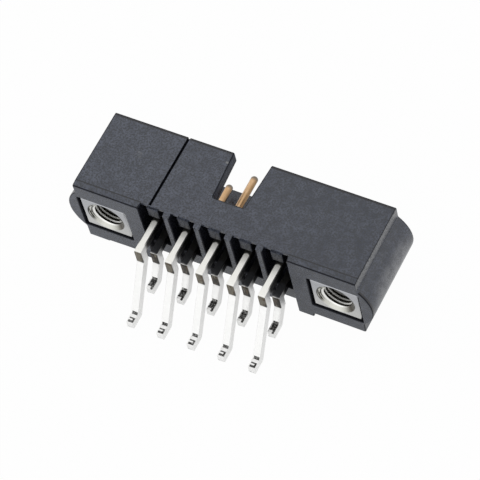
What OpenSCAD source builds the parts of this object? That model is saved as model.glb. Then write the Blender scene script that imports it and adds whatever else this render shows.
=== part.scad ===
// Right-angle shrouded pin header with a threaded insert in each end lug.
// X runs along the rows, Y points out of the mating face and Z points up.
// The origin is under the middle of the part, on the plane of the solder feet.

/* [Contacts] */
// Number of contact columns
columns = 5; // [3:1:12]
// Distance between neighbouring columns
pitch = 2; // [1.9:0.01:2.5]
// Distance between the two rows
row_gap = 2; // [1.75:0.01:2.3]
// Width of the contact strip across its bends
strip_w = 0.44; // [0.3:0.01:0.6]
// Thickness of the contact strip
strip_t = 0.54; // [0.4:0.01:0.62]
// Diameter of the round mating pin
pin_d = 0.44; // [0.3:0.01:0.6]
// Length of the domed nose of a mating pin
nose_l = 0.16; // [0.08:0.01:0.2]
// How far the noses stay behind the mating face
tip_set_back = 0.2; // [0:0.01:0.9]
// Distance of the upper row's drop behind the back of the lugs
upper_reach = 2; // [1.75:0.05:3.2]
// Distance of the lower row's drop behind the back of the lugs
lower_reach = 0.8; // [0.64:0.02:1.1]
// Height of the upright drop below the bend, measured on its back
leg_drop = 1.1; // [0.9:0.05:1.4]
// Lean of the leg below the drop, from upright
leg_slant = 33; // [10:1:40]
// Flat length of the solder foot behind the leg
foot_l = 0.67; // [0.4:0.01:1.2]
// Radius on the outside of each bend
bend_r = 0.17; // [0.08:0.01:0.24]
// Radius on the inside of each bend
bend_fillet = 0.1; // [0.04:0.01:0.16]

/* [Housing] */
// Depth of the housing from the back of the lugs to the mating face
body_d = 5.45; // [4.8:0.05:8]
// Height of the housing
body_h = 5.24; // [4.8:0.02:6.2]
// Height of the housing's underside above the solder feet's plane
stand_h = 0.63; // [0.5:0.01:1.2]
// Thickness of the shroud above and below the mating cavity
shroud_t = 0.83; // [0.55:0.01:0.95]
// Depth of the mating cavity
cavity_d = 3.2; // [2.4:0.05:3.6]
// Room in the cavity past the axis of the end columns
cavity_end = 1.18; // [0.65:0.01:1.3]
// Width of the keying notch at the mating face
key_mouth_w = 2.4; // [2.05:0.05:3.5]
// Width of the keying notch at its blind end
key_w = 2; // [1.2:0.05:2.3]
// Distance of the thin groove across the top from the left end of the block
groove_x = 4.96; // [2.5:0.02:7]
// Width of the thin groove
groove_w = 0.17; // [0.08:0.01:0.3]
// Depth of the thin groove
groove_d = 0.22; // [0.04:0.01:0.3]
// Length of the slope along the back edge of the top
edge_l = 0.43; // [0.16:0.01:0.8]
// Drop of the slope along the back edge of the top
edge_drop = 0.08; // [0.02:0.01:0.2]

/* [Back channels] */
// Thickness of the ribs between the channels
rib_t = 0.43; // [0.25:0.01:0.7]
// Distance of the ribs' backs in front of the back of the lugs
rib_set_back = 0.06; // [0:0.01:0.24]
// Depth of the channels, from the back of the lugs
slot_d = 1.18; // [0.8:0.02:1.6]
// Distance of the roof's edge over the channels in front of the back of the lugs
roof_set_back = 0.39; // [0.24:0.01:0.6]
// Thickness of the roof over the channels
roof_t = 0.17; // [0.12:0.01:0.45]
// Width of the hood under the roof over each upper contact
hood_w = 0.76; // [0.5:0.01:1]
// Distance of the hoods' backs in front of the back of the lugs
hood_set_back = 0.28; // [0.16:0.01:0.48]
// Height of the hoods above the upper contacts
hood_rise = 0.35; // [0.1:0.01:0.6]
// Distance of the sill's back in front of the back of the lugs
sill_set_back = 0.5; // [0.2:0.01:0.7]
// Drop of the sill below the lower contacts
sill_gap = 0.25; // [0.1:0.01:0.6]

/* [Lugs and inserts] */
// Distance of a screw axis from the axis of the end column
screw_gap = 3.5; // [3.4:0.05:4.7]
// Drop of the screw axes below the middle of the housing
screw_drop = 0.12; // [0:0.01:0.3]
// Radius of the rounded lug beside each screw axis
lug_r = 2.4; // [2.1:0.05:2.55]
// Distance of the flat end of the block from the screw axis
block_end = 1.64; // [1.62:0.01:2]
// Width of the insert
insert_w = 3.04; // [2.7:0.02:3.1]
// Height of the insert
insert_h = 2.7; // [2.5:0.02:3]
// Length of the insert
insert_l = 2.5; // [1.6:0.05:3.5]
// Distance of the insert's face below the back of the lug
insert_recess = 0.08; // [0.02:0.01:0.3]
// Gap around the insert in its pocket
insert_clear = 0.1; // [0.02:0.01:0.12]
// Bevel along the edges of the insert's faces
insert_bevel = 0.1; // [0.02:0.01:0.12]
// Radius of the threaded hole, at the crests of its M2 thread
thread_r = 0.87; // [0.65:0.01:1]
// Radius of the countersink at both ends of the threaded hole
sink_r = 1.24; // [1.05:0.01:1.26]
// Depth of the countersinks
sink_d = 0.25; // [0.1:0.01:0.5]
// Radius of the screw's clearance hole through the lug
screw_hole_r = 1.1; // [1.05:0.01:1.35]
// Width of the feet at the inner ends of the lugs
inner_pad_w = 1; // [0.5:0.05:1.1]
// Height of the feet at the inner ends of the lugs
inner_pad_h = 0.38; // [0.1:0.01:0.45]
// Width of the foot at the outer end of the left lug
outer_pad_w = 1.35; // [0.65:0.05:2]
// Height of the foot at the outer end of the left lug
outer_pad_h = 0.13; // [0.05:0.01:0.3]

/* [Hidden] */
$fn = 96;
arc_steps = 6;
// Overrun that carries a cut clear of a face
over = 0.5;

// Heights
body_top = stand_h + body_h;
body_mid = stand_h + body_h / 2;
upper_z = body_mid + row_gap / 2;
lower_z = body_mid - row_gap / 2;
screw_z = body_mid - screw_drop;

// Places along the rows
column_x = [for (i = [1:columns]) (i - (columns + 1) / 2) * pitch];
rib_x = [for (i = [1:columns - 1]) (column_x[i - 1] + column_x[i]) / 2];
screw_x = column_x[columns - 1] + screw_gap;
block_x = screw_x + block_end;
comb_x = column_x[columns - 1] + (pitch - rib_t) / 2;
cavity_x = column_x[columns - 1] + cavity_end;

// Places along the mating direction, from the back of the lugs
tip_y = body_d - tip_set_back;
floor_y = body_d - cavity_d;
pocket_d = insert_recess + insert_l;
// Where the strip of a contact turns into its round pin, halfway through the wall that holds it
neck_y = (slot_d + floor_y) / 2;

// The part is centred over the span from the mating face to the end of the rearmost feet
heel_run = (upper_z + strip_t / 2 - leg_drop - strip_t) * tan(leg_slant);
foot_end_y = -upper_reach - heel_run - foot_l;
middle_y = (body_d + foot_end_y) / 2;

// Names of all pieces
upper_names = [for (i = [1:columns]) str("contact_upper_", i)];
lower_names = [for (i = [1:columns]) str("contact_lower_", i)];

// Points of a rounded corner c between its neighbours p and q
function corner(p, c, q, r) =
    let (u = (p - c) / norm(p - c))
    let (v = (q - c) / norm(q - c))
    let (half = acos(u * v) / 2)
    let (middle = c + (u + v) / norm(u + v) * r / sin(half))
    let (first = c + u * r / tan(half) - middle)
    let (last = c + v * r / tan(half) - middle)
    let (turn = 180 - 2 * half)
    [for (k = [0:arc_steps])
        let (s = k / arc_steps)
        middle + (sin((1 - s) * turn) * first + sin(s * turn) * last) / sin(turn)];

// Side view of a contact's strip, from its neck to its foot, as points along Y and Z
function strip_side(row_z, reach) =
    let (top = row_z + strip_t / 2)
    let (low = row_z - strip_t / 2)
    let (kink_z = top - leg_drop)
    let (heel_y = -reach - (kink_z - strip_t) * tan(leg_slant))
    let (bend = [-reach, top])
    let (kink = [-reach, kink_z])
    let (heel = [heel_y, strip_t])
    let (foot_top = [heel_y - foot_l, strip_t])
    let (foot_low = [heel_y - foot_l, 0])
    let (sole = [heel_y + strip_t * (1 - sin(leg_slant)) / cos(leg_slant), 0])
    let (knee = [-reach + strip_t, kink_z - strip_t * tan(leg_slant / 2)])
    let (crook = [-reach + strip_t, low])
    let (neck_top = [neck_y, top])
    let (neck_low = [neck_y, low])
    concat(
        [neck_top],
        corner(neck_top, bend, kink, bend_r),
        corner(bend, kink, heel, bend_fillet),
        corner(kink, heel, foot_top, bend_fillet),
        [foot_top, foot_low],
        corner(foot_low, sole, knee, bend_r),
        corner(sole, knee, crook, bend_r),
        corner(knee, crook, neck_low, bend_fillet),
        [neck_low]
    );

// Moves a piece from the back of the lugs to the part's own origin
module place() {
    translate([0, -middle_y, 0]) children();
}

// Stands a flat shape drawn in X and Z up, from the back of the lugs towards the mating face
module along_y(from, to) {
    translate([0, to, 0]) rotate([90, 0, 0]) linear_extrude(to - from) children();
}

// Round mating pin with a domed nose, from the neck up
module pin() {
    shank_l = tip_y - neck_y - nose_l;
    dome_r = (pin_d * pin_d / 4 + nose_l * nose_l) / (2 * nose_l);
    cylinder(d = pin_d, h = shank_l);
    translate([0, 0, shank_l]) intersection() {
        translate([0, 0, nose_l - dome_r]) sphere(dome_r);
        translate([-pin_d, -pin_d, 0]) cube(2 * pin_d);
    }
}

// One formed contact: a bent strip at the back, which goes over into a round pin
module contact(x, row_z, reach) {
    color("gainsboro") place() translate([x, 0, 0]) {
        rotate([90, 0, 90])
            linear_extrude(strip_w, center = true)
            polygon(strip_side(row_z, reach));
        translate([0, neck_y, row_z]) rotate([-90, 0, 0]) pin();
    }
}

// Outline of the housing from the front: a block with a round lug at each end
module outline() {
    translate([-block_x, stand_h]) square([2 * block_x, body_h]);
    for (side = [-1, 1]) translate([side * screw_x, body_mid]) circle(lug_r);
}

// The mating cavity with the keying notch in its upper wall
module mating_cavity() {
    translate([-cavity_x, floor_y, stand_h + shroud_t])
        cube([2 * cavity_x, cavity_d + over, body_h - 2 * shroud_t]);
    translate([0, 0, body_mid]) linear_extrude(body_h) polygon([
        [-key_w / 2, floor_y],
        [key_w / 2, floor_y],
        [key_mouth_w / 2, body_d],
        [key_mouth_w / 2, body_d + over],
        [-key_mouth_w / 2, body_d + over],
        [-key_mouth_w / 2, body_d]
    ]);
}

// Everything that is cut away between the lugs at the back, down to the ribs, hoods and sill
module back_channels() {
    roof_z = body_top - roof_t;
    hood_z = upper_z + strip_t / 2 + hood_rise;
    sill_z = lower_z - strip_t / 2 - sill_gap;
    difference() {
        union() {
            translate([-comb_x, -over, stand_h - over])
                cube([2 * comb_x, roof_set_back + over, body_h + 2 * over]);
            translate([-comb_x, -over, stand_h - over])
                cube([2 * comb_x, slot_d + over, body_h - roof_t + over]);
        }
        for (x = rib_x) translate([x - rib_t / 2, rib_set_back, stand_h - over])
            cube([rib_t, slot_d, body_h + 2 * over]);
        for (x = column_x) translate([x - hood_w / 2, hood_set_back, hood_z])
            cube([hood_w, slot_d, roof_z - hood_z]);
        translate([-comb_x - over, sill_set_back, stand_h - over])
            cube([2 * comb_x + 2 * over, slot_d, sill_z - stand_h + over]);
    }
}

// Holes in which the contacts are held: as wide as the strip up to the neck, then round
module contact_holes() {
    for (x = column_x, z = [lower_z, upper_z]) translate([x, 0, z]) {
        translate([-strip_w / 2, -over, -strip_t / 2]) cube([strip_w, neck_y + over, strip_t]);
        translate([0, neck_y, 0])
            rotate([-90, 0, 0]) cylinder(d = pin_d, h = floor_y - neck_y + over);
    }
}

// Pocket for an insert, open at the back, and the screw's hole through to the mating face
module lug_cuts() {
    pocket_w = insert_w + 2 * insert_clear;
    pocket_h = insert_h + 2 * insert_clear;
    translate([-pocket_w / 2, -over, screw_z - pocket_h / 2])
        cube([pocket_w, pocket_d + over, pocket_h]);
    translate([0, pocket_d - over, screw_z])
        rotate([-90, 0, 0]) cylinder(r = screw_hole_r, h = body_d - pocket_d + 2 * over);
}

// Thin groove across the top, which stops at the slope along the back edge
module top_groove() {
    translate([groove_x - block_x - groove_w / 2, edge_l, body_top - groove_d])
        cube([groove_w, body_d, groove_d + over]);
}

// Slope along the back edge of the top
module back_edge() {
    rotate([90, 0, 90]) linear_extrude(2 * block_x + over, center = true) polygon([
        [edge_l, body_top],
        [0, body_top - edge_drop],
        [-over, body_top - edge_drop],
        [-over, body_top + over],
        [edge_l, body_top + over]
    ]);
}

// Small feet under the lugs, along the whole depth
module lug_feet() {
    for (side = [-1, 1]) {
        inner = side > 0 ? comb_x : -comb_x - inner_pad_w;
        translate([inner, 0, stand_h - inner_pad_h])
            cube([inner_pad_w, body_d, 2 * inner_pad_h]);
    }
    translate([-block_x, 0, stand_h - outer_pad_h])
        cube([outer_pad_w, body_d, 2 * outer_pad_h]);
}

module housing() {
    color("#2b2d31") place() difference() {
        union() {
            along_y(0, body_d) outline();
            lug_feet();
        }
        mating_cavity();
        back_channels();
        contact_holes();
        for (side = [-1, 1]) translate([side * screw_x, 0, 0]) lug_cuts();
        top_groove();
        back_edge();
    }
}

// One block insert with a countersunk hole and bevelled face edges
module insert(x) {
    bevel_w = insert_bevel * sqrt(2);
    color("silver") place() translate([x, pocket_d, screw_z]) rotate([90, 0, 0]) difference() {
        translate([0, 0, insert_l / 2]) cube([insert_w, insert_h, insert_l], center = true);
        translate([0, 0, -over]) cylinder(r = thread_r, h = insert_l + 2 * over);
        translate([0, 0, insert_l - sink_d]) cylinder(r1 = thread_r, r2 = sink_r, h = sink_d);
        cylinder(r1 = sink_r, r2 = thread_r, h = sink_d);
        for (end = [0, insert_l], side = [-1, 1]) {
            translate([side * insert_w / 2, 0, end]) rotate([0, 45, 0])
                cube([bevel_w, insert_h + over, bevel_w], center = true);
            translate([0, side * insert_h / 2, end]) rotate([45, 0, 0])
                cube([insert_w + over, bevel_w, bevel_w], center = true);
        }
    }
}

module insert_left() {
    insert(-screw_x);
}

module insert_right() {
    insert(screw_x);
}

housing();
insert_left();
insert_right();
for (i = [0:columns - 1]) {
    contact(column_x[i], upper_z, upper_reach);
    contact(column_x[i], lower_z, lower_reach);
}
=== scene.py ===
import math

import bmesh
import bpy
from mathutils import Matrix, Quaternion, Vector


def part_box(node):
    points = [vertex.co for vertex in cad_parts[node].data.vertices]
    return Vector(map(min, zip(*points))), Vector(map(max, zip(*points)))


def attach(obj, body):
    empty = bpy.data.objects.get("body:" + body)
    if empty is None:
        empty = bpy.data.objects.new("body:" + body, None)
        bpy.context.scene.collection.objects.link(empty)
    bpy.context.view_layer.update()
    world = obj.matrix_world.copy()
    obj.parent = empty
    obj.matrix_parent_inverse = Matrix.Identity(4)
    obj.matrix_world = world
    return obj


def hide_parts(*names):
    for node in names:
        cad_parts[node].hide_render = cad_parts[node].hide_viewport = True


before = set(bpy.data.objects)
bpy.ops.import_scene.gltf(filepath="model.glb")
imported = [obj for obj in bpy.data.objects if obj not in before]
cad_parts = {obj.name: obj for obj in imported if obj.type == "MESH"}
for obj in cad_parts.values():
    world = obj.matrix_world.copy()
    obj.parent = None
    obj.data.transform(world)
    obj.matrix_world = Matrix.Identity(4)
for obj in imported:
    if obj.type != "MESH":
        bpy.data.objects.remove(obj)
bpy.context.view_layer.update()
scene = bpy.context.scene
scene.view_settings.view_transform = "Standard"
mm = 0.001
print("frame loaded:", len(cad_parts), "CAD nodes")


# small helpers for picking things up and wiring nodes

nodeGrid = {"columns": 8, "across": 240, "down": 300}  # where new nodes go in the node editor


def clearSelection():
    active = bpy.context.view_layer.objects.active
    if active and active.mode != "OBJECT":
        bpy.ops.object.mode_set(mode="OBJECT")
    bpy.ops.object.select_all(action="DESELECT")


def pickUp(piece):
    clearSelection()
    piece.select_set(True)
    bpy.context.view_layer.objects.active = piece


def openMesh(piece):  # edit mode with everything selected
    pickUp(piece)
    bpy.ops.object.mode_set(mode="EDIT")
    bpy.ops.mesh.select_all(action="SELECT")


def closeMesh():
    bpy.ops.object.mode_set(mode="OBJECT")


def applyModifier(piece, modifier):
    pickUp(piece)
    bpy.ops.object.modifier_apply(modifier=modifier.name)


def addNode(tree, kind, **settings):
    row, column = divmod(len(tree.nodes), nodeGrid["columns"])
    node = tree.nodes.new(kind)
    node.location = (column * nodeGrid["across"], -row * nodeGrid["down"])
    for name, value in settings.items():
        setattr(node, name, value)
    return node


def feed(tree, socket, value):  # a number or colour is set, an output is wired
    if isinstance(value, bpy.types.NodeSocket):
        tree.links.new(value, socket)
    else:
        socket.default_value = value


def mathNode(tree, operation, first, second=0.0):
    node = addNode(tree, "ShaderNodeMath", operation=operation)
    feed(tree, node.inputs[0], first)
    feed(tree, node.inputs[1], second)
    return node.outputs[0]


def product(tree, *factors):
    result = factors[0]
    for factor in factors[1:]:
        result = mathNode(tree, "MULTIPLY", result, factor)
    return result


def wrapAround(tree, value, low, high):  # the same local place on every copy
    node = addNode(tree, "ShaderNodeMath", operation="WRAP")
    feed(tree, node.inputs[0], value)
    node.inputs[1].default_value = high
    node.inputs[2].default_value = low
    return node.outputs[0]


def rampNode(tree, value, low, high, outLow=0.0, outHigh=1.0):
    node = addNode(tree, "ShaderNodeMapRange", interpolation_type="SMOOTHSTEP")
    feed(tree, node.inputs["Value"], value)
    feed(tree, node.inputs["From Min"], low)
    feed(tree, node.inputs["From Max"], high)
    feed(tree, node.inputs["To Min"], outLow)
    feed(tree, node.inputs["To Max"], outHigh)
    return node.outputs["Result"]


def mixColour(tree, share, first, second):
    node = addNode(tree, "ShaderNodeMix", data_type="RGBA")
    feed(tree, node.inputs[0], share)
    feed(tree, node.inputs[6], first)  # the sockets for colours
    feed(tree, node.inputs[7], second)
    return node.outputs[2]


def noiseNode(tree, place, scale, detail, roughness=0.5):
    node = addNode(tree, "ShaderNodeTexNoise")
    feed(tree, node.inputs["Vector"], place)
    feed(tree, node.inputs["Scale"], scale)
    feed(tree, node.inputs["Detail"], detail)
    feed(tree, node.inputs["Roughness"], roughness)
    return node.outputs["Fac"]


def bumpNode(tree, height, strength, distance):
    node = addNode(tree, "ShaderNodeBump")
    node.inputs["Strength"].default_value = strength
    node.inputs["Distance"].default_value = distance
    feed(tree, node.inputs["Height"], height)
    return node.outputs["Normal"]


def splitPlace(tree, place):
    parts = addNode(tree, "ShaderNodeSeparateXYZ")
    tree.links.new(place, parts.inputs[0])
    return parts.outputs["X"], parts.outputs["Y"], parts.outputs["Z"]


def newGroup(name, inputs, outputs):
    group = bpy.data.node_groups.new(name, "ShaderNodeTree")
    for label, kind in inputs:
        group.interface.new_socket(label, in_out="INPUT", socket_type=kind)
    for label in outputs:
        group.interface.new_socket(label, in_out="OUTPUT", socket_type="NodeSocketFloat")
    source = addNode(group, "NodeGroupInput")
    target = addNode(group, "NodeGroupOutput")
    return group, source.outputs, target.inputs


def useGroup(tree, group, **values):
    node = addNode(tree, "ShaderNodeGroup", node_tree=group)
    for label, value in values.items():
        feed(tree, node.inputs[label], value)
    return node.outputs


def newMaterial(name):
    material = bpy.data.materials.new(name)
    material.use_nodes = True
    tree = material.node_tree
    tree.nodes.clear()
    shader = addNode(tree, "ShaderNodeBsdfPrincipled")
    output = addNode(tree, "ShaderNodeOutputMaterial")
    tree.links.new(shader.outputs["BSDF"], output.inputs["Surface"])
    coords = addNode(tree, "ShaderNodeTexCoord")
    scaled = addNode(tree, "ShaderNodeVectorMath", operation="SCALE")
    tree.links.new(coords.outputs["Object"], scaled.inputs[0])
    scaled.inputs["Scale"].default_value = 1 / mm  # millimetres from here on
    return material, tree, shader, scaled.outputs[0]


# effects that several finishes share

vectorKind, numberKind = "NodeSocketVector", "NodeSocketFloat"

effects = {
    "cloudDetail": 4.0,
    "cloudRoughness": 0.6,
    "cloudRange": (0.3, 0.7),   # noise levels that become 0 and 1
    "grainDetail": 3.0,
    "grainRoughness": 0.65,
    "streakScale": 1.0,         # after the stretch
    "scuffPatches": 0.9,        # per millimetre
    "scuffDetail": 2.0,
    "scuffLevel": 0.5,          # where marks begin at amount 0
    "scuffSoft": 0.08,
}


def makeMottleGroup():  # soft clouds and a fine grain over a surface
    group, given, result = newGroup(
        "mottle",
        [("Place", vectorKind), ("Cloud", numberKind), ("Grain", numberKind)],
        ["Clouds", "Grain"],
    )
    place = given["Place"]
    clouds = noiseNode(group, place, given["Cloud"], effects["cloudDetail"], effects["cloudRoughness"])
    grain = noiseNode(group, place, given["Grain"], effects["grainDetail"], effects["grainRoughness"])
    group.links.new(rampNode(group, clouds, *effects["cloudRange"]), result["Clouds"])
    group.links.new(grain, result["Grain"])
    return group


def makeScuffGroup():  # short thin rub marks, stretched along one direction
    group, given, result = newGroup(
        "scuffs",
        [("Place", vectorKind), ("Stretch", vectorKind), ("Amount", numberKind)],
        ["Mask", "Streaks"],
    )
    pulled = addNode(group, "ShaderNodeVectorMath", operation="MULTIPLY")
    group.links.new(given["Place"], pulled.inputs[0])
    group.links.new(given["Stretch"], pulled.inputs[1])
    streaks = noiseNode(group, pulled.outputs[0], effects["streakScale"], effects["scuffDetail"])
    patches = noiseNode(group, given["Place"], effects["scuffPatches"], effects["scuffDetail"])
    limit = mathNode(group, "SUBTRACT", effects["scuffLevel"], given["Amount"])
    upper = mathNode(group, "ADD", limit, effects["scuffSoft"])
    group.links.new(rampNode(group, product(group, streaks, patches), limit, upper), result["Mask"])
    group.links.new(streaks, result["Streaks"])
    return group


def makePatchGroup():  # soft-edged patch at a place on a face
    group, given, result = newGroup(
        "patch",
        [("Across", numberKind), ("Along", numberKind), ("Middle Across", numberKind),
         ("Middle Along", numberKind), ("Half Across", numberKind),
         ("Half Along", numberKind), ("Soft", numberKind)],
        ["Mask"],
    )
    sides = []
    for name in ("Across", "Along"):
        away = mathNode(group, "SUBTRACT", given[name], given["Middle " + name])
        away = mathNode(group, "ABSOLUTE", away)
        past = mathNode(group, "SUBTRACT", away, given["Half " + name])
        sides.append(rampNode(group, past, 0.0, given["Soft"], 1.0, 0.0))
    group.links.new(product(group, *sides), result["Mask"])
    return group


mottle = makeMottleGroup()
scuffs = makeScuffGroup()
patch = makePatchGroup()
print("shared effects made")


def spotMask(tree, across, along, place, soft):  # place: middle and half across, middle and half along
    return useGroup(tree, patch, Across=across, Along=along, Soft=soft, **{
        "Middle Across": place[0], "Half Across": place[1],
        "Middle Along": place[2], "Half Along": place[3]})["Mask"]


# places in millimetres in the part's frame; two or four numbers of a ramp: from, to, and what comes out there
plastic = {
    "base": (0.028, 0.033, 0.049, 1.0),
    "pale": (0.080, 0.090, 0.121, 1.0),
    # this tone is used for the scuff marks and for a painted highlight on the right lug's side
    "scuffAndSheen": (0.150, 0.154, 0.166, 1.0),
    "dark": (0.031, 0.0345, 0.043, 1.0),
    # painted shade: this tone darkens edges, the lines along them, the hood fronts and the notch wall
    "edge": (0.010, 0.010, 0.013, 1.0),
    # painted shade for faces that light hardly reaches
    "deep": (0.006, 0.006, 0.008, 1.0),
    # this tone is used for the pale fleck on top and for a painted highlight on the right end of the block
    "fleckAndSheen": (0.170, 0.172, 0.178, 1.0),
    "cloudScale": 2.0,      # per millimetre
    "grainScale": 9.0,
    "cloudShare": 0.75,     # of the pale tone
    "leftRise": (9.0, -6.0, 0.0, 0.42),     # paler towards the left end, over X
    "fleck": (0.60, 0.39),                  # grain levels of the dark flecks
    "scuffStretch": (0.7, 9.0, 9.0),
    "scuffAmount": 0.08,
    "scuffShare": 0.5,
    "roughness": (0.3, 0.7, 0.22, 0.34),    # over the grain
    "bumpStrength": 0.35,
    "bumpDistance": 0.02 * mm,
    "ior": 1.58,
    "lines": [                             # painted shade as dark lines along edges: middle and half in Y, from which |X| and Z
        (-0.025, 0.02, 4.78, 5.82),         # crest of the slope, outside the comb
        (4.88, 0.05, 0.0, 5.82),            # far edge of the top
        (-0.34, 0.055, 9.16, 0.0),          # round edge of the lugs
    ],
    "lineSoft": 0.03,
    "lineReach": 20.0,                      # past both ends of the part
    "levelSoft": 0.02,
    "top": (5.80, 5.84),                    # heights where the top begins
    "speck": (-1.30, 0.07, 4.22, 0.045),    # one pale fleck beside the notch
    "speckSoft": 0.04,
    "sideSheen": (2.9, 0.8, 2.3, 1.4),         # painted highlight on the right lug's rounded side, Z and Y
    "sideSheenSoft": 0.9,
    "sideSheenFrom": (9.0, 9.3),
    "sideSheenShare": (0.0, 1.0, 0.25, 0.85),  # over the clouds
    "sheenGrain": (0.3, 0.6),
}
# another tone with its share, or with the heights and shares of its fade, and the refraction
plasticKinds = {
    "darkPlastic": {},
    # painted shade on the rounded edges
    "edgePlastic": {"tone": "edge", "share": 0.9, "ior": 1.2},
    # painted shade in the comb's slots, the insert pockets and the groove
    "deepPlastic": {"tone": "deep", "share": 0.9, "ior": 1.1},
    # painted highlight on the right end of the block, broken up by the grain
    "endSheenPlastic": {"tone": "fleckAndSheen", "fade": (5.15, 5.45, 0.0, 0.9), "grainy": True},
    # painted shade on the hood fronts, darker towards the bottom
    "hoodPlastic": {"tone": "edge", "fade": (5.55, 4.85, 0.45, 0.8), "ior": 1.25},
    # painted shade on the notch's left wall, darker towards the bottom
    "notchPlastic": {"tone": "edge", "fade": (5.40, 5.10, 0.10, 0.95), "ior": 1.1},
    "backPlastic": {"ior": 1.42},
}


def plainTone(tree, across, cover, rubs):  # clouds, dark flecks and rub marks
    lighter = mathNode(tree, "ADD", product(tree, cover["Clouds"], plastic["cloudShare"]),
                       rampNode(tree, across, *plastic["leftRise"]))
    tone = mixColour(tree, lighter, plastic["base"], plastic["pale"])
    tone = mixColour(tree, rampNode(tree, cover["Grain"], *plastic["fleck"]), tone, plastic["dark"])
    return mixColour(tree, product(tree, rubs["Mask"], plastic["scuffShare"]), tone, plastic["scuffAndSheen"])


def addLines(tree, tone, spot):  # painted shade: dark lines along three kinds of edges
    across, along, height = spot
    away = mathNode(tree, "ABSOLUTE", across)
    reach, soft = plastic["lineReach"], plastic["levelSoft"]
    for middle, half, outside, level in plastic["lines"]:
        line = spotMask(tree, away, along, (outside + reach, reach, middle, half), plastic["lineSoft"])
        line = product(tree, line, rampNode(tree, height, level - soft, level + soft))
        tone = mixColour(tree, line, tone, plastic["edge"])
    return tone


def addFleckAndSheen(tree, tone, spot, cover):  # the pale fleck on top, and a painted highlight on the rounded side of a lug
    across, along, height = spot
    speck = product(tree, spotMask(tree, across, along, plastic["speck"], plastic["speckSoft"]),
                    rampNode(tree, height, *plastic["top"]))
    tone = mixColour(tree, speck, tone, plastic["fleckAndSheen"])
    # painted highlight on the lug's rounded side
    sideSheen = product(tree, spotMask(tree, height, along, plastic["sideSheen"], plastic["sideSheenSoft"]),
                     rampNode(tree, across, *plastic["sideSheenFrom"]),
                     rampNode(tree, cover["Clouds"], *plastic["sideSheenShare"]))
    return mixColour(tree, sideSheen, tone, plastic["scuffAndSheen"])


def makePlastic(name, tone=None, share=0.0, fade=None, grainy=False, ior=plastic["ior"]):
    material, tree, shader, place = newMaterial(name)
    cover = useGroup(tree, mottle, Place=place, Cloud=plastic["cloudScale"], Grain=plastic["grainScale"])
    rubs = useGroup(tree, scuffs, Place=place, Stretch=plastic["scuffStretch"], Amount=plastic["scuffAmount"])
    spot = splitPlace(tree, place)
    across, along, height = spot
    colour = plainTone(tree, across, cover, rubs)
    if fade:
        share = rampNode(tree, height, *fade)
    if grainy:
        share = product(tree, share, rampNode(tree, cover["Grain"], *plastic["sheenGrain"]))
    if tone:
        colour = mixColour(tree, share, colour, plastic[tone])
    else:
        colour = addFleckAndSheen(tree, addLines(tree, colour, spot), spot, cover)
    feed(tree, shader.inputs["Base Color"], colour)
    feed(tree, shader.inputs["Roughness"], rampNode(tree, cover["Grain"], *plastic["roughness"]))
    shader.inputs["IOR"].default_value = ior
    bump = bumpNode(tree, cover["Grain"], plastic["bumpStrength"], plastic["bumpDistance"])
    feed(tree, shader.inputs["Normal"], bump)
    return material


tin = {
    "base": (0.98, 0.98, 0.97, 1.0),
    "pale": (1.0, 1.0, 0.99, 1.0),
    # the next two tones are painted dark reflections on the backs of the drops
    "dropReflection": (0.215, 0.194, 0.152, 1.0),
    "brown": (0.115, 0.085, 0.055, 1.0),
    # painted shade in the slot, on the run's edges and side and on the drops; also the heel bar and blots on
    # the feet
    "dark": (0.030, 0.029, 0.027, 1.0),
    "gold": (0.60, 0.375, 0.19, 1.0),
    "goldPale": (0.72, 0.49, 0.295, 1.0),
    "goldDark": (0.15, 0.085, 0.035, 1.0),
    "tip": (0.20, 0.17, 0.14, 1.0),
    "cloudScale": 2.2,          # per millimetre
    "grainScale": 16.0,
    "scuffStretch": (16.0, 2.0, 2.0),
    "scuffAmount": 0.1,
    "halfPitch": 1.0,
    "goldFrom": (1.05, 1.25),   # in Y, where the tin ends, hidden in the housing
    "notOnPin": (0.5, 0.0),     # over the share of gold
    "tipFrom": (4.40, 4.65),
    "flank": (0.04, 0.18, 0.0, 0.65),   # painted reflection: darker right side of a pin
    "slotFrom": (-0.23, -0.11),         # in Y, painted shadow: the run turns dark where it enters the housing
    "slotBow": 3.2,             # how round that line is
    "rim": (0.155, 0.185),      # shaded long edges of the run
    "rimShift": 0.006,
    "rimFrom": (0.4, 0.9),      # in Y from the drop
    "sideFrom": (0.45, 0.8),
    "dropBack": (0.09, 0.04),
    "dropFoot": (0.02, 0.10),   # in Z from the kink
    "dropHead": (-0.02, -0.08),         # in Z from the bend
    "runTop": (-0.06, -0.01),
    "runSide": (-0.02, -0.06),
    "brownFrom": (1.0, 1.3),    # across, with the clouds added
    "streak": (0.40, 0.52),
    "cornerSlope": 0.45,
    "cornerSoft": 0.2,
    "footTop": (0.49, 0.52),    # heights of the foot's top, from below and from above
    "footAbove": (0.63, 0.60),
    "blotSoft": 0.03,
    "blotShare": (0.36, 0.52, 0.65, 1.0),  # over the grain
    "roughness": (0.0, 1.0, 0.3, 0.42),     # over the scuffs
    "metallic": (0.0, 1.0, 0.9, 0.35),      # the top of the run is matte
    "bumpStrength": 0.15,
    "bumpDistance": 0.02 * mm,
}
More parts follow.
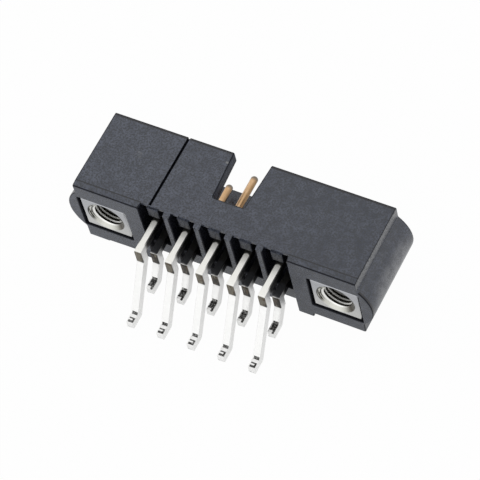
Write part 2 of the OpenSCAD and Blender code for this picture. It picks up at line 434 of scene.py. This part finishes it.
# places in millimetres: foot end and drop in Y, kink and bend in Z
# heel bar and foot blots are soft patches: middle and half across, middle and half along
upperMarks = {
    "name": "upperStrip", "footEnd": -4.9951, "drop": -2.4549, "kink": 3.42, "bend": 4.52, "dropTone": 0.35,
    "runTone": (1.0, 0.99, 0.94, 1.0), "corner": -0.05,
    "heelBar": (0.02, 0.165, 0.62, 0.04),
    "footBlots": [(0.02, 0.165, 0.67, 0.04), (0.02, 0.165, 0.36, 0.03), (0.02, 0.165, 0.14, 0.06),
                   (0.14, 0.045, 0.25, 0.12)],
}
lowerMarks = {
    "name": "lowerStrip", "footEnd": -2.4963, "drop": -1.2549, "kink": 1.42, "bend": 2.52, "dropTone": 0.85,
    # painted shade: the lower row's run is dark
    "runTone": (0.045, 0.046, 0.050, 1.0), "corner": -0.12,
    "heelBar": (0.02, 0.165, 0.61, 0.04),
    "footBlots": [(0.02, 0.165, 0.46, 0.20), (0.0, 0.185, 0.23, 0.04), (0.13, 0.055, 0.08, 0.14)],
}


def shifted(start, steps):
    return [start + step for step in steps]


def goldTone(tree, spot, cover):
    across, along, height = spot
    tone = mixColour(tree, cover["Clouds"], tin["gold"], tin["goldPale"])
    tone = mixColour(tree, rampNode(tree, across, *tin["flank"]), tone, tin["goldDark"])
    return mixColour(tree, rampNode(tree, along, *tin["tipFrom"]), tone, tin["tip"])


def addRun(tree, tone, marks, spot, onRun):  # matte top of the run, with painted shade on its long edges and a painted shadow with a round end where it enters the housing
    across, along, height = spot
    rim = mathNode(tree, "ABSOLUTE", mathNode(tree, "ADD", across, tin["rimShift"]))
    rim = product(tree, rampNode(tree, rim, *tin["rim"]),
                  rampNode(tree, along, *shifted(marks["drop"], tin["rimFrom"])))
    tone = mixColour(tree, onRun, tone, mixColour(tree, rim, marks["runTone"], tin["dark"]))
    bowed = mathNode(tree, "ADD", along, product(tree, across, across, tin["slotBow"]))
    return mixColour(tree, rampNode(tree, bowed, *tin["slotFrom"]), tone, tin["dark"])


def addRunSide(tree, tone, marks, spot, onPin):  # the run's side lies in the shade of the comb
    across, along, height = spot
    aside = product(tree, rampNode(tree, height, *shifted(marks["bend"], tin["runSide"])),
                    rampNode(tree, along, *shifted(marks["drop"], tin["sideFrom"])),
                    rampNode(tree, onPin, *tin["notOnPin"]))
    return mixColour(tree, aside, tone, tin["dark"])


def addDrop(tree, tone, marks, spot, cover, rubs):  # painted reflection: dark back of the drop, browner towards its lower right corner
    across, along, height = spot
    lean = mathNode(tree, "ADD", across, cover["Clouds"])
    brownShare = rampNode(tree, lean, *shifted(-marks["dropTone"], tin["brownFrom"]))
    dropTone = mixColour(tree, brownShare, tin["dropReflection"], tin["brown"])
    streak = rampNode(tree, rubs["Streaks"], *tin["streak"], 0.0, marks["dropTone"])
    dropTone = mixColour(tree, streak, dropTone, tin["dark"])
    rise = mathNode(tree, "SUBTRACT", height, marks["kink"])
    corner = mathNode(tree, "SUBTRACT", across, product(tree, rise, tin["cornerSlope"]))
    corner = rampNode(tree, corner, *shifted(marks["corner"], (0.0, tin["cornerSoft"])))
    dropTone = mixColour(tree, corner, dropTone, tin["dark"])
    onDrop = product(tree, rampNode(tree, along, *shifted(marks["drop"], tin["dropBack"])),
                     rampNode(tree, height, *shifted(marks["kink"], tin["dropFoot"])),
                     rampNode(tree, height, *shifted(marks["bend"], tin["dropHead"])))
    return mixColour(tree, onDrop, tone, dropTone)


def addDarkBlots(tree, tone, marks, spot, cover):  # a painted reflection as a dark bar at the heel, and dark blots on top of the foot
    across, along, height = spot
    fromEnd = mathNode(tree, "SUBTRACT", along, marks["footEnd"])
    onFoot = product(tree, rampNode(tree, height, *tin["footTop"]), rampNode(tree, height, *tin["footAbove"]))
    blotted = spotMask(tree, across, height, marks["heelBar"], tin["blotSoft"])
    for place in marks["footBlots"]:
        blot = product(tree, spotMask(tree, across, fromEnd, place, tin["blotSoft"]), onFoot)
        blotted = mathNode(tree, "MAXIMUM", blotted, blot)
    blotted = product(tree, blotted, rampNode(tree, cover["Grain"], *tin["blotShare"]))
    return mixColour(tree, blotted, tone, tin["dark"])


def makeStrip(marks):  # tin outside the housing, gold on the pin
    material, tree, shader, place = newMaterial(marks["name"])
    across, along, height = splitPlace(tree, place)
    spot = wrapAround(tree, across, -tin["halfPitch"], tin["halfPitch"]), along, height
    cover = useGroup(tree, mottle, Place=place, Cloud=tin["cloudScale"], Grain=tin["grainScale"])
    rubs = useGroup(tree, scuffs, Place=place, Stretch=tin["scuffStretch"], Amount=tin["scuffAmount"])
    onRun = rampNode(tree, height, *shifted(marks["bend"], tin["runTop"]))
    onPin = rampNode(tree, along, *tin["goldFrom"])
    tone = mixColour(tree, cover["Clouds"], tin["base"], tin["pale"])
    tone = addRun(tree, tone, marks, spot, onRun)
    tone = mixColour(tree, onPin, tone, goldTone(tree, spot, cover))
    tone = addRunSide(tree, tone, marks, spot, onPin)
    tone = addDrop(tree, tone, marks, spot, cover, rubs)
    tone = addDarkBlots(tree, tone, marks, spot, cover)
    feed(tree, shader.inputs["Base Color"], tone)
    feed(tree, shader.inputs["Roughness"], rampNode(tree, rubs["Mask"], *tin["roughness"]))
    metallic = mathNode(tree, "MAXIMUM", rampNode(tree, onRun, *tin["metallic"]), onPin)
    feed(tree, shader.inputs["Metallic"], metallic)
    bump = bumpNode(tree, cover["Clouds"], tin["bumpStrength"], tin["bumpDistance"])
    feed(tree, shader.inputs["Normal"], bump)
    return material


nickel = {
    "base": (0.46, 0.47, 0.495, 1.0),
    "pale": (0.61, 0.61, 0.60, 1.0),
    "bright": (0.96, 0.96, 0.93, 1.0),
    "sink": (0.66, 0.66, 0.61, 1.0),
    "brown": (0.085, 0.075, 0.06, 1.0),
    "dark": (0.030, 0.028, 0.022, 1.0),
    "cloudScale": 1.6,      # per millimetre
    "grainScale": 14.0,
    "scuffStretch": (2.0, 14.0, 14.0),
    "scuffAmount": 0.12,
    "spacing": 15.0,        # between the two inserts' axes
    "axisHeight": 3.13,
    "face": -0.375,
    "faceRise": (0.9, -1.2),                # painted reflection: heights over which the face turns paler
    "rim": (1.24, 1.19),                    # radius where the countersink begins
    "inner": (1.02, 0.93),                  # painted highlight: bright ring around the bore
    "swirl": (9.0, 0.6),                    # streaks over the radius and the angle
    "streakScale": 1.6,
    "streakDetail": 2.0,
    "streak": (0.38, 0.5),
    "leftSide": (2.3, 2.7),                 # angles, 0 to the right and upwards positive
    "lowRight": [(-1.35, -0.6), (0.2, -0.2)],
    "boreFrom": (0.24, 0.27),               # depths from the face
    "lit": (1.6, 0.1),                      # how far the light reaches into the thread
    "farEnd": (2.47, 2.49),
    "root": (0.895, 0.95, 1.0, 0.0),        # radius where a crest goes over into the thread's root
    "roughness": (0.0, 1.0, 0.2, 0.38),     # over the scuffs
    "metallic": (0.0, 1.0, 1.0, 0.35),      # less in the bore
    "bumpStrength": 0.1,
    "bumpDistance": 0.01 * mm,
}


def sinkTone(tree, radius, angle):  # painted reflections on the countersink: streaked on the left, brownish at the lower right
    swirl = addNode(tree, "ShaderNodeCombineXYZ")
    for socket, value, scale in zip(swirl.inputs, (radius, angle), nickel["swirl"]):
        feed(tree, socket, product(tree, value, scale))
    lines = noiseNode(tree, swirl.outputs[0], nickel["streakScale"], nickel["streakDetail"])
    streaks = product(tree, rampNode(tree, mathNode(tree, "ABSOLUTE", angle), *nickel["leftSide"]),
                      rampNode(tree, lines, *nickel["streak"]))
    lowRight = product(tree, *[rampNode(tree, angle, *ends) for ends in nickel["lowRight"]])
    tone = mixColour(tree, streaks, nickel["sink"], nickel["dark"])
    tone = mixColour(tree, rampNode(tree, radius, *nickel["inner"]), tone, nickel["bright"])
    return mixColour(tree, lowRight, tone, nickel["brown"])


def threadTone(tree, radius, depth):  # painted highlights on the crests and painted shade in the roots, fading with depth
    crest = product(tree, rampNode(tree, radius, *nickel["root"]), rampNode(tree, depth, *nickel["lit"]))
    return mixColour(tree, crest, nickel["dark"], nickel["bright"])


def makeNickel():
    material, tree, shader, place = newMaterial("brightMetal")
    across, along, height = splitPlace(tree, place)
    across = wrapAround(tree, across, -nickel["spacing"], 0.0)
    across = mathNode(tree, "ADD", across, nickel["spacing"] / 2)
    height = mathNode(tree, "SUBTRACT", height, nickel["axisHeight"])
    depth = mathNode(tree, "SUBTRACT", along, nickel["face"])
    squares = mathNode(tree, "ADD", product(tree, across, across), product(tree, height, height))
    radius = mathNode(tree, "SQRT", squares)
    angle = mathNode(tree, "ARCTAN2", height, across)
    cover = useGroup(tree, mottle, Place=place, Cloud=nickel["cloudScale"], Grain=nickel["grainScale"])
    rubs = useGroup(tree, scuffs, Place=place, Stretch=nickel["scuffStretch"], Amount=nickel["scuffAmount"])
    inBore = rampNode(tree, depth, *nickel["boreFrom"])
    tone = mixColour(tree, rampNode(tree, height, *nickel["faceRise"]), nickel["base"], nickel["pale"])
    tone = mixColour(tree, rampNode(tree, radius, *nickel["rim"]), tone, sinkTone(tree, radius, angle))
    tone = mixColour(tree, inBore, tone, threadTone(tree, radius, depth))
    tone = mixColour(tree, rampNode(tree, depth, *nickel["farEnd"]), tone, nickel["base"])
    feed(tree, shader.inputs["Base Color"], tone)
    feed(tree, shader.inputs["Roughness"], rampNode(tree, rubs["Mask"], *nickel["roughness"]))
    feed(tree, shader.inputs["Metallic"], rampNode(tree, inBore, *nickel["metallic"]))
    bump = bumpNode(tree, cover["Grain"], nickel["bumpStrength"], nickel["bumpDistance"])
    feed(tree, shader.inputs["Normal"], bump)
    return material


housingFinishes = [makePlastic(name, **kind) for name, kind in plasticKinds.items()]
upperStrip = makeStrip(upperMarks)
lowerStrip = makeStrip(lowerMarks)
brightMetal = makeNickel()
print("finishes made")


meshing = {
    "merge": 0.0001 * mm,
    "flat": math.radians(0.5),      # faces closer than this become one
    "sharp": math.radians(32),      # edges that get rounded
    "smooth": math.radians(50),
}


def copyNode(nodeName, pieceName, finishes):  # merged copy of a CAD node, in its own place
    piece = bpy.data.objects.new(pieceName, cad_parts[nodeName].data.copy())
    scene.collection.objects.link(piece)
    piece.data.materials.clear()
    for finish in finishes:
        piece.data.materials.append(finish)
    openMesh(piece)
    bpy.ops.mesh.customdata_custom_splitnormals_clear()
    bpy.ops.mesh.remove_doubles(threshold=meshing["merge"])
    bpy.ops.mesh.dissolve_limited(angle_limit=meshing["flat"])
    closeMesh()
    return piece


def copyAlong(first, firstNode, nodeName, pieceName):  # the same piece again, where its node is
    piece = bpy.data.objects.new(pieceName, first.data.copy())
    scene.collection.objects.link(piece)
    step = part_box(nodeName)[0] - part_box(firstNode)[0]
    openMesh(piece)
    bpy.ops.transform.translate(value=step)
    closeMesh()
    return piece


def isBroad(face, least):  # wide enough to give up a rounded edge
    return 2 * face.calc_area() / face.calc_perimeter() > least


def breakEdges(piece, settings, finish=-1, leaveOut=None):
    openMesh(piece)
    bpy.ops.mesh.select_all(action="DESELECT")
    bpy.ops.mesh.select_mode(type="EDGE")
    mesh = bmesh.from_edit_mesh(piece.data)
    for edge in mesh.edges:
        sharp = len(edge.link_faces) == 2 and edge.calc_face_angle() > meshing["sharp"]
        if not sharp or not all(isBroad(face, settings["least"]) for face in edge.link_faces):
            continue
        if leaveOut is None or not any(leaveOut(face.calc_center_median() / mm) for face in edge.link_faces):
            edge.select_set(True)
    bmesh.update_edit_mesh(piece.data)
    bpy.ops.mesh.bevel(offset=settings["edge"], segments=settings["segments"], clamp_overlap=False,
                       material=finish, miter_outer="ARC")
    closeMesh()
    pickUp(piece)
    bpy.ops.object.shade_smooth_by_angle(angle=meshing["smooth"])
    evenOut = piece.modifiers.new("evenShading", "WEIGHTED_NORMAL")
    evenOut.keep_sharp = True
    applyModifier(piece, evenOut)


def finishPiece(piece, nodeName):
    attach(piece, "root")
    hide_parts(nodeName)


housing = {
    "node": "housing", "edge": 0.075 * mm, "segments": 3, "least": 0.16 * mm,
    # millimetres in the part's frame; facing is how squarely a face has to look that way
    "comb": {"x": 4.79, "y": (-0.36, 0.74), "z": (0.6, 5.71), "wall": 0.5, "facing": 0.7},
    "pocket": {"x": 7.5, "z": 3.13, "halfX": 1.63, "halfZ": 1.46, "y": (-0.44, 2.3)},
    "notch": {"x": (-1.25, -0.95), "z": 4.9, "facing": 0.8},
    "groove": {"x": -4.18, "half": 0.1, "z": (5.6, 5.86)},
    "hood": {"y": -0.175, "half": 0.06, "z": 4.8, "facing": 0.7},
    "roofEdge": {"y": 0.06, "z": 5.0},
    "ledge": {"z": 5.6, "facing": 0.5},
    "back": {"y": (-0.475, -0.435), "facing": 0.95},
    "endSliver": {"x": (9.04, 9.18), "z": 4.4, "facing": 0.3},
}


def between(value, ends):
    return ends[0] < value < ends[1]


def inGroove(spot):
    groove = housing["groove"]
    return abs(spot.x - groove["x"]) < groove["half"] and between(spot.z, groove["z"])


def isDeep(spot, facing):  # faces that light hardly reaches
    comb, pocket = housing["comb"], housing["pocket"]
    if abs(spot.x) < comb["x"] and between(spot.y, comb["y"]) and between(spot.z, comb["z"]):
        return facing.y > -comb["facing"] or spot.y > comb["wall"]
    besideAxis = abs(abs(spot.x) - pocket["x"]) < pocket["halfX"]
    inPocket = besideAxis and abs(spot.z - pocket["z"]) < pocket["halfZ"] and between(spot.y, pocket["y"])
    return inPocket or inGroove(spot)


def isHood(spot, facing):
    hood = housing["hood"]
    atFront = abs(spot.x) < housing["comb"]["x"] and abs(spot.y - hood["y"]) < hood["half"]
    return atFront and spot.z > hood["z"] and facing.y < -hood["facing"]


def isNotchWall(spot, facing):
    notch = housing["notch"]
    return between(spot.x, notch["x"]) and spot.z > notch["z"] and facing.x > notch["facing"]


def isRoofEdge(spot, facing):  # the roof runs over into the hoods without a dark line
    edge = housing["roofEdge"]
    return abs(spot.x) < housing["comb"]["x"] and spot.y < edge["y"] and spot.z > edge["z"]


def isLedge(spot, facing):  # top of a hood
    ledge = housing["ledge"]
    return isRoofEdge(spot, facing) and spot.z > ledge["z"] and facing.z > ledge["facing"]


def isBack(spot, facing):  # backs of the lugs and the comb's ribs
    return between(spot.y, housing["back"]["y"]) and facing.y < -housing["back"]["facing"]


def isEndSheen(spot, facing):  # painted highlight on the right end of the block, above its lug
    sliver = housing["endSliver"]
    return between(spot.x, sliver["x"]) and spot.z > sliver["z"] and facing.x > sliver["facing"]


# the first test that a face passes gives its finish
finishTests = [
    (isLedge, "darkPlastic"), (isDeep, "deepPlastic"), (isEndSheen, "endSheenPlastic"), (isHood, "hoodPlastic"),
    (isNotchWall, "notchPlastic"), (isBack, "backPlastic"), (isRoofEdge, "darkPlastic"),
]


def makeHousing():
    slots = {name: index for index, name in enumerate(plasticKinds)}
    piece = copyNode(housing["node"], "housingShell", housingFinishes)
    breakEdges(piece, housing, finish=slots["edgePlastic"], leaveOut=inGroove)
    for face in piece.data.polygons:
        for test, finish in finishTests:
            if test(face.center / mm, face.normal):
                face.material_index = slots[finish]
                break
    finishPiece(piece, housing["node"])
    print("housing:", len(piece.data.polygons), "faces")


contacts = {"columns": 5, "edge": 0.022 * mm, "segments": 2, "least": 0.01 * mm}


def makeContacts(row, material):
    firstNode = f"contact_{row}_1"
    first = copyNode(firstNode, f"{row}Contact1", [material])
    breakEdges(first, contacts)
    made = [(first, firstNode)]
    for column in range(2, contacts["columns"] + 1):
        nodeName = f"contact_{row}_{column}"
        made.append((copyAlong(first, firstNode, nodeName, f"{row}Contact{column}"), nodeName))
    for piece, nodeName in made:
        finishPiece(piece, nodeName)
    print(row, "contacts:", len(made), "pieces of", len(first.data.polygons), "faces")


insert = {
    "pitch": 0.25 * mm,      # of the fine M2 thread
    "turns": 13,
    "steps": 48,
    # half section of the groove, radius and half width, from the root inwards
    "groove": [(1.0 * mm, 0.02 * mm), (0.92 * mm, 0.07 * mm), (0.875 * mm, 0.105 * mm),
               (0.80 * mm, 0.122 * mm)],
    "smooth": math.radians(33),
}


def makeThreadCutter(axis, start):  # a solid spiral with the thread's section
    section = insert["groove"] + [(radius, -half) for radius, half in reversed(insert["groove"])]
    clearSelection()
    bpy.ops.mesh.primitive_circle_add(vertices=len(section), fill_type="NGON", location=(0, 0, 0))
    cutter = bpy.context.object
    for vertex, (radius, along) in zip(cutter.data.vertices, section):
        vertex.co = (radius, along, 0.0)
    spiral = cutter.modifiers.new("spiral", "SCREW")
    spiral.axis = "Y"
    spiral.angle = math.tau
    spiral.screw_offset = insert["pitch"]
    spiral.iterations = insert["turns"]
    spiral.steps = spiral.render_steps = insert["steps"]
    spiral.use_normal_calculate = True
    applyModifier(cutter, spiral)
    openMesh(cutter)
    bpy.ops.mesh.remove_doubles(threshold=meshing["merge"])
    bpy.ops.mesh.normals_make_consistent(inside=False)
    bpy.ops.transform.translate(value=(axis[0], start, axis[1]))
    closeMesh()
    return cutter


def makeInserts():
    low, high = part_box("insert_left")
    first = copyNode("insert_left", "leftInsert", [brightMetal])
    axis = ((low.x + high.x) / 2, (low.z + high.z) / 2)
    cutter = makeThreadCutter(axis, low.y - insert["pitch"])
    cut = first.modifiers.new("thread", "BOOLEAN")
    cut.operation = "DIFFERENCE"
    cut.solver = "EXACT"
    cut.object = cutter
    applyModifier(first, cut)
    bpy.data.objects.remove(cutter)
    pickUp(first)
    bpy.ops.object.shade_smooth_by_angle(angle=insert["smooth"])
    second = copyAlong(first, "insert_left", "insert_right", "rightInsert")
    finishPiece(first, "insert_left")
    finishPiece(second, "insert_right")
    print("inserts:", len(first.data.polygons), "faces each")


makeHousing()
makeContacts("upper", upperStrip)
makeContacts("lower", lowerStrip)
makeInserts()


studio = {
    "floorSize": 3.0,
    "floor": (0.70, 0.70, 0.70, 1.0),
    "cameraShare": 0.975,      # how much of the floor the camera sees as plain white
    "glossyShare": 0.58,       # the same for mirrored rays
    "tent": (1.0, 1.0, 1.0, 1.0),
    "level": (0.0, 0.8, 1.15, 0.87),    # brightness from the horizon upwards
}


def makeFloor():
    clearSelection()
    bpy.ops.mesh.primitive_plane_add(size=studio["floorSize"], location=(0, 0, 0))
    floor = bpy.context.object
    floor.name = "studioFloor"
    material = bpy.data.materials.new("paleFloor")
    material.use_nodes = True
    tree = material.node_tree
    tree.nodes.clear()
    output = addNode(tree, "ShaderNodeOutputMaterial")
    paper = addNode(tree, "ShaderNodeBsdfDiffuse")
    paper.inputs["Color"].default_value = studio["floor"]
    white = addNode(tree, "ShaderNodeEmission")
    rays = addNode(tree, "ShaderNodeLightPath").outputs
    seen = product(tree, rays["Is Camera Ray"], studio["cameraShare"])
    mirrored = mathNode(tree, "MAXIMUM", rays["Is Glossy Ray"], rays["Is Transmission Ray"])
    mirrored = product(tree, mirrored, studio["glossyShare"])
    blend = addNode(tree, "ShaderNodeMixShader")
    feed(tree, blend.inputs[0], mathNode(tree, "MAXIMUM", seen, mirrored))
    tree.links.new(paper.outputs[0], blend.inputs[1])
    tree.links.new(white.outputs[0], blend.inputs[2])
    tree.links.new(blend.outputs[0], output.inputs["Surface"])
    floor.data.materials.append(material)


def makeTent():
    world = bpy.data.worlds.new("studioTent")
    scene.world = world
    world.use_nodes = True
    tree = world.node_tree
    tree.nodes.clear()
    output = addNode(tree, "ShaderNodeOutputWorld")
    tent = addNode(tree, "ShaderNodeBackground")
    tent.inputs["Color"].default_value = studio["tent"]
    coords = addNode(tree, "ShaderNodeTexCoord")
    across, along, height = splitPlace(tree, coords.outputs["Generated"])
    level = rampNode(tree, height, *studio["level"])
    rays = addNode(tree, "ShaderNodeLightPath").outputs
    feed(tree, tent.inputs["Strength"], mathNode(tree, "MAXIMUM", level, rays["Is Camera Ray"]))
    tree.links.new(tent.outputs[0], output.inputs["Surface"])


view = {
    "place": (0.0553072, -0.0627892, 0.1315557),
    "aim": (0.00054885, 0.00123705, 0.003),
    "roll": -16.1184,
    "lens": 200.089,
    "sensor": 36.0,
    "near": 0.005,
}


def makeCamera():
    clearSelection()
    bpy.ops.object.camera_add(location=view["place"])
    camera = bpy.context.object
    towards = (Vector(view["aim"]) - Vector(view["place"])).to_track_quat("-Z", "Y")
    camera.rotation_mode = "QUATERNION"
    camera.rotation_quaternion = towards @ Quaternion((0, 0, 1), math.radians(view["roll"]))
    camera.data.lens = view["lens"]
    camera.data.sensor_width = view["sensor"]
    camera.data.clip_start = view["near"]
    scene.camera = camera


makeFloor()
makeTent()
makeCamera()
print("studio set")
